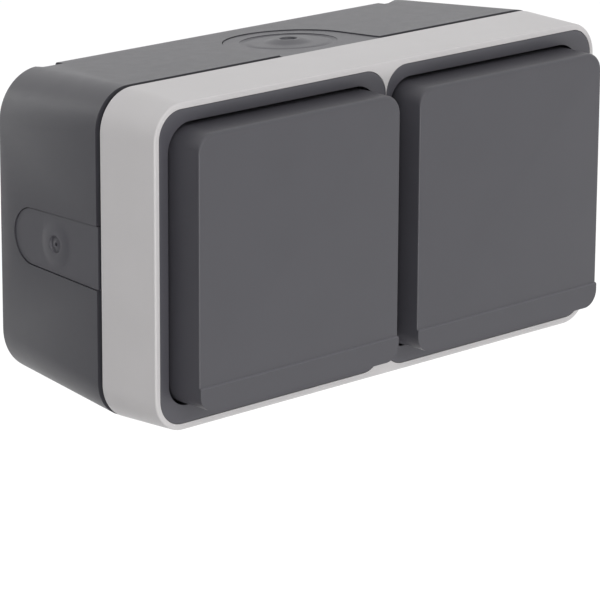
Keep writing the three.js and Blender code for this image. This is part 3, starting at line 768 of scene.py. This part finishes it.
def make_bezel(gang):
    rim = bezel_rect(gang.side)
    slot = Rect(gang.x + SLOT_LEFT, gang.x + SLOT_RIGHT, SLOT_BOTTOM, SLOT_TOP, SLOT_R,
                SLOT_LOW_R)
    body = join(slab(rim, BEZEL_FRONT_Y, -51.2), slab(rim.inset(2.6), -52.2, PLATE_BACK_Y))
    cut(body, loft([(BEZEL_FRONT_Y - 0.05, rim.inset(0.4)), (SLOT_Y, slot),
                    (PLATE_FRONT_Y, slot)]))
    tools = [rod(COLLAR_R + 0.4, -56, -40, about_y(gang.x, 0), ROUND)]
    for end in (-1, 1):
        x0, x1 = sorted(gang.x + end * x for x in BRACKET_X)
        join(
            body,
            block(x0, x1, gang.hinge_y - 1, gang.hinge_y + 1, 16.6, gang.hinge_z),
            block(x0, x1, gang.hinge_y - 0.999, PLATE_FRONT_Y + 1, 16.601, 19.0),
            rod(1.75, x0 + 0.001, x1 - 0.001, about_x(gang.hinge_y, gang.hinge_z)),
            rod(4, PLATE_BACK_Y - 0.5, POST_TOP_Y - 0.4, screw_line(gang, end)),
        )
        tools.append(rod(HINGE_BORE_R, x0 - 1, x1 + 1, about_x(gang.hinge_y, gang.hinge_z)))
        tools.append(rod(SCREW_BORE_R, -60, -30, screw_line(gang, end)))
        tools.append(rod(3.1, -60, PLATE_FRONT_Y + 1.9, screw_line(gang, end)))
    cut(body, *tools)
    name = f"bezel_{gang.name}"
    return piece(body, f"{name}_moulding", "housing", MATERIALS["bezel"], [name],
                 edge=0.16)


def screw_line(gang, end):
    return about_y(gang.x + gang.side * end * INSERT_SCREW, end * INSERT_SCREW)


def lid_section(x, y):
    """Outline of the lid's outside at depth y: soft top edge, crisp other edges."""
    rim_y = node_depth("lid_left")[1]
    t = (y - LID_FACE_Y) / (rim_y - LID_FACE_Y)

    def pull(edge):
        d = min(y - LID_FACE_Y, edge)
        return edge - math.sqrt(max(edge**2 - (edge - d) ** 2, 0))

    side = LID_FACE_HALF + LID_FLARE * t - pull(LID_EDGE)
    top = LID_FACE_TOP + LID_FLARE * t - pull(LID_TOP_EDGE)
    bottom = LID_FACE_BOTTOM - LID_FLARE * t + pull(LID_EDGE)
    tighter = 0.5 * pull(LID_EDGE)
    return Rect(x - side, x + side, bottom, top, LID_CORNER_R + LID_CORNER_FLARE * t - tighter,
                GRIP_R + LID_LOW_CORNER_FLARE * t - tighter)


def make_lid(gang):
    rim_y = node_depth(f"lid_{gang.name}")[1]
    curves = {round(edge * (1 - math.cos(math.pi / 2 * i / 8)), 3)
              for edge in (LID_EDGE, LID_TOP_EDGE) for i in range(9)}
    depths = sorted(curves) + [4.0, 8.0, rim_y - LID_FACE_Y]
    shell = loft([(LID_FACE_Y + d, lid_section(gang.x, LID_FACE_Y + d)) for d in depths])
    hollow = Rect(gang.x - LID_HOLLOW["half"], gang.x + LID_HOLLOW["half"], LID_HOLLOW["bottom"],
                  LID_HOLLOW["top"], LID_HOLLOW["r"])
    at_rim = replace(hollow, r=LID_HOLLOW["rim_r"])
    cut(shell, loft([(LID_INNER_Y, hollow), (rim_y + 1, at_rim)]))
    join(shell, grip_band(gang))
    rib = cut(rod(RIB_OUTER_R, LID_INNER_Y - 0.5, RIB_END_Y, about_y(gang.x, 0), ROUND),
              rod(RIB_INNER_R, LID_INNER_Y, RIB_END_Y + 1, about_y(gang.x, 0), ROUND))
    join(shell, rib)
    for end in (-1, 1):
        for a, b in (LUG_X[:2], LUG_X[2:]):
            x0, x1 = sorted((gang.x + end * a, gang.x + end * b))
            join(shell, block(x0, x1, LID_INNER_Y - 0.4, gang.hinge_y + 1.9, 26.7, 31.6))
    bore = about_x(gang.hinge_y, gang.hinge_z)
    cut(shell, rod(HINGE_BORE_R, gang.x - 30.2, gang.x + 30.2, bore))
    name = f"lid_{gang.name}"
    piece(grip_edge(gang), f"{name}_grip_edge", name, MATERIALS["painted_highlight"], edge=0.03)
    return piece(shell, f"{name}_cover", name, MATERIALS["housing"], [name],
                 edge=0.14, smooth=20)


def grip_band(gang):
    """Raised finger grip along the lid's lower edge, square at the top and round below."""
    points = [(gang.x + GRIP_HALF, GRIP_TOP), (gang.x - GRIP_HALF, GRIP_TOP)]
    for end, start in ((-1, 180), (1, 270)):
        for step in range(CORNER_STEPS + 1):
            angle = math.radians(start + 90 * step / CORNER_STEPS)
            points.append((gang.x + end * (GRIP_HALF - GRIP_R) + GRIP_R * math.cos(angle),
                           GRIP_BOTTOM + GRIP_R + GRIP_R * math.sin(angle)))
    band = prism(points, LID_FACE_Y - GRIP_PROUD, LID_FACE_Y + 1, lambda u, v, w: (u, w, v))
    past = 0.3              # how far the cut runs past the slope, as a share of it
    inner = (LID_FACE_Y + past * GRIP_PROUD, GRIP_TOP + past * GRIP_SLOPE)
    outer = (LID_FACE_Y - (1 + past) * GRIP_PROUD, GRIP_TOP - (1 + past) * GRIP_SLOPE)
    wedge = [outer, inner, (outer[0], inner[1])]
    return cut(band, prism(wedge, gang.x - 40, gang.x + 40, lambda u, v, w: (w, u, v)))


def grip_edge(gang):
    """Lighter strip along the slope at the grip's top; it stands for light caught by the edge."""
    front, foot = LID_FACE_Y - GRIP_PROUD, GRIP_TOP - GRIP_SLOPE
    section = [(LID_FACE_Y + 0.08, GRIP_TOP + 0.03), (LID_FACE_Y - 0.02, GRIP_TOP + 0.03),
               (front - 0.03, foot + 0.03), (front - 0.03, foot - 0.05), (front + 0.1, foot - 0.05)]
    reach = GRIP_HALF - 0.25
    return prism(section, gang.x - reach, gang.x + reach, lambda u, v, w: (w, u, v))


def make_lid_seal(gang):
    name = f"lid_seal_{gang.name}"
    y0, y1 = node_depth(name)
    lip = [(20.4, y0), (22.5, y0), (22.5, y1 - 0.4), (22.0, y1), (21.6, y1 - 0.35),
           (21.2, y1 - 0.35), (20.8, y1), (20.4, y1 - 0.4), (20.4, y0)]
    ring = turned(lip, about_y(gang.x, 0))
    return piece(ring, f"{name}_ring", f"lid_{gang.name}", MATERIALS["seal"], [name],
                 edge=0.08)


def make_well(gang):
    name = f"socket_well_{gang.name}"
    front_y, back_y = node_depth(name)
    floor_y = back_y - 2.4
    centre = about_y(gang.x, 0)
    flange_y = PLATE_BACK_Y + TOUCH
    inside = fillet([(0, floor_y), (WELL_R, floor_y), (WELL_R, front_y + 0.5),
                     (WELL_R + 0.5, front_y)], 0.8)
    outside = [(COLLAR_R - 0.5, front_y), (COLLAR_R, front_y + 0.5), (COLLAR_R, flange_y),
               (WELL_FLANGE_R, flange_y), (WELL_FLANGE_R, flange_y + 2),
               (WELL_WALL_R, flange_y + 2), (WELL_WALL_R, back_y), (0, back_y)]
    cup = turned(inside + outside, centre)
    for end in (-1, 1):
        x0, x1 = sorted((gang.x + end * 18.3, gang.x + end * 20.3))
        join(cup, block(x0, x1, front_y + 0.8, floor_y + 0.5, -2.4, 2.4))
    tools = [rod(SCREW_BORE_R, -60, -30, centre)]
    for end in (-1, 1):
        pin = about_y(gang.x + end * PIN_HALF_SPACING, 0)
        mouth = [(0, floor_y - 1), (PIN_ENTRY_R + 1.4, floor_y - 1), (PIN_ENTRY_R + 0.6, floor_y),
                 (PIN_ENTRY_R, floor_y + 0.6), (PIN_ENTRY_R, -30), (0, -30)]
        tools.append(turned(mouth, pin, 48))
        z0, z1 = sorted((end * 17, end * 21.7))
        tools.append(block(gang.x - 3.4, gang.x + 3.4, -53.5, -30, z0, z1))
    cut(cup, *tools)
    return piece(cup, f"{name}_moulding", "housing", MATERIALS["housing"], [name],
                 edge=0)


def make_spring(gang):
    """Torsion spring round the hinge pin: coil, a fixed leg and a leg that follows the lid."""
    turns, radius, wire = 4.5, 1.6, 0.28
    x0, x1 = gang.x + 13, gang.x + 19
    coil = []
    for step in range(109):
        angle = 2 * math.pi * turns * step / 108
        coil.append((x0 + (x1 - x0) * step / 108, gang.hinge_y + radius * math.cos(angle),
                     gang.hinge_z + radius * math.sin(angle)))
    end = coil[-1]
    foot = [(x1, end[1], end[2] - 1), (x1, end[1], 18.4), (x1, end[1] + 0.6, 17.8),
            (x1, PLATE_FRONT_Y - TOUCH, 17.8)]
    name = f"hinge_spring_{gang.name}"
    spring = wire_object(coil + foot, wire)
    piece(spring, f"{name}_coil", "housing", MATERIALS["steel"], [name], edge=0)
    rest_y = LID_INNER_Y + wire + 0.05
    arm = [(x0 - 0.6, gang.hinge_y + 0.3, gang.hinge_z + radius),
           (x0 - 0.6, rest_y + 0.6, gang.hinge_z + 1),
           (x0 - 0.6, rest_y, gang.hinge_z - 1), (x0 - 0.6, rest_y, gang.hinge_z - 5.5)]
    piece(wire_object(arm, wire), f"{name}_arm", f"lid_{gang.name}", MATERIALS["steel"],
          edge=0)


def wire_object(points, radius, sides=12):
    """Round wire along a line of points, with flat ends."""
    line = [Vector(p) for p in points]
    rings, normal = [], Vector((0.0, 0.0, 1.0))
    for i, point in enumerate(line):
        ahead = (line[min(i + 1, len(line) - 1)] - line[max(i - 1, 0)]).normalized()
        normal = (normal - ahead * normal.dot(ahead)).normalized()
        if normal.length < 0.5:
            normal = ahead.orthogonal().normalized()
        across = ahead.cross(normal)
        rings += [tuple(point + radius * (math.cos(a) * normal + math.sin(a) * across))
                  for a in (2 * math.pi * k / sides for k in range(sides))]
    faces = tube_faces(sides, len(line))
    faces.append(tuple(range(sides)))
    faces.append(tuple(reversed(range(len(rings) - sides, len(rings)))))
    return face_outwards(new_object("wire", rings, faces))


def make_pin(gang):
    name = f"hinge_pin_{gang.name}"
    low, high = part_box(name)
    place = about_x(gang.hinge_y, gang.hinge_z)
    pin = rod(0.9, low.x / MM, high.x / MM, place, SMALL_ROUND, chamfer=0.25)
    piece(pin, f"{name}_rod", "housing", MATERIALS["steel"], [name], edge=0.05)


def make_screw(node, head_r):
    """Pan-head screw with a cross recess, along Y."""
    low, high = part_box(node)
    x, z = (low.x + high.x) / 2 / MM, (low.z + high.z) / 2 / MM
    y0, y1 = low.y / MM, high.y / MM
    head = 1.4
    profile = [(0, y0), (head_r * 0.55, y0 + 0.05), (head_r * 0.85, y0 + 0.3), (head_r, y0 + 0.8),
               (head_r, y0 + head), (1.25, y0 + head), (1.25, y1 - 0.8), (0.7, y1), (0, y1)]
    screw = turned(profile, about_y(x, z), 48)
    for long_x, long_z in ((0.62, 0.13), (0.13, 0.62)):
        slot = Rect(x - head_r * long_x, x + head_r * long_x,
                    z - head_r * long_z, z + head_r * long_z, 0.12)
        deep = loft([(y0 - 1, slot), (y0 + 0.9, slot.inset(0.12, 0.05))], 3)
        cut(screw, deep)
    piece(screw, f"{node}_body", "housing", MATERIALS["steel"], [node], edge=0.06)


def finish_kept_nodes():
    """CAD nodes that stay visible get their slot's material and softened edges."""
    slots = {s["node"]: s["material_slot"] for s in frame["record"]["subparts"]}
    for node, obj in frame["nodes"].items():
        if obj.hide_render:
            continue
        obj.data.materials.clear()
        obj.data.materials.append(MATERIALS[slots[node]])
        bevel = obj.modifiers.new("soft edges", "BEVEL")
        bevel.width = 0.12 * MM
        bevel.segments = 2
        bevel.limit_method = "ANGLE"
        bevel.angle_limit = math.radians(40)


add_camera()
add_studio()
make_housing()
for gang in gangs():
    make_bezel(gang)
    make_lid(gang)
    make_lid_seal(gang)
    make_well(gang)
    make_pin(gang)
    make_spring(gang)
    make_screw(f"centre_screw_{gang.name}", 2.6)
    for label in ("outer", "inner"):
        make_screw(f"insert_screw_{label}_{gang.name}", 2.8)
finish_kept_nodes()
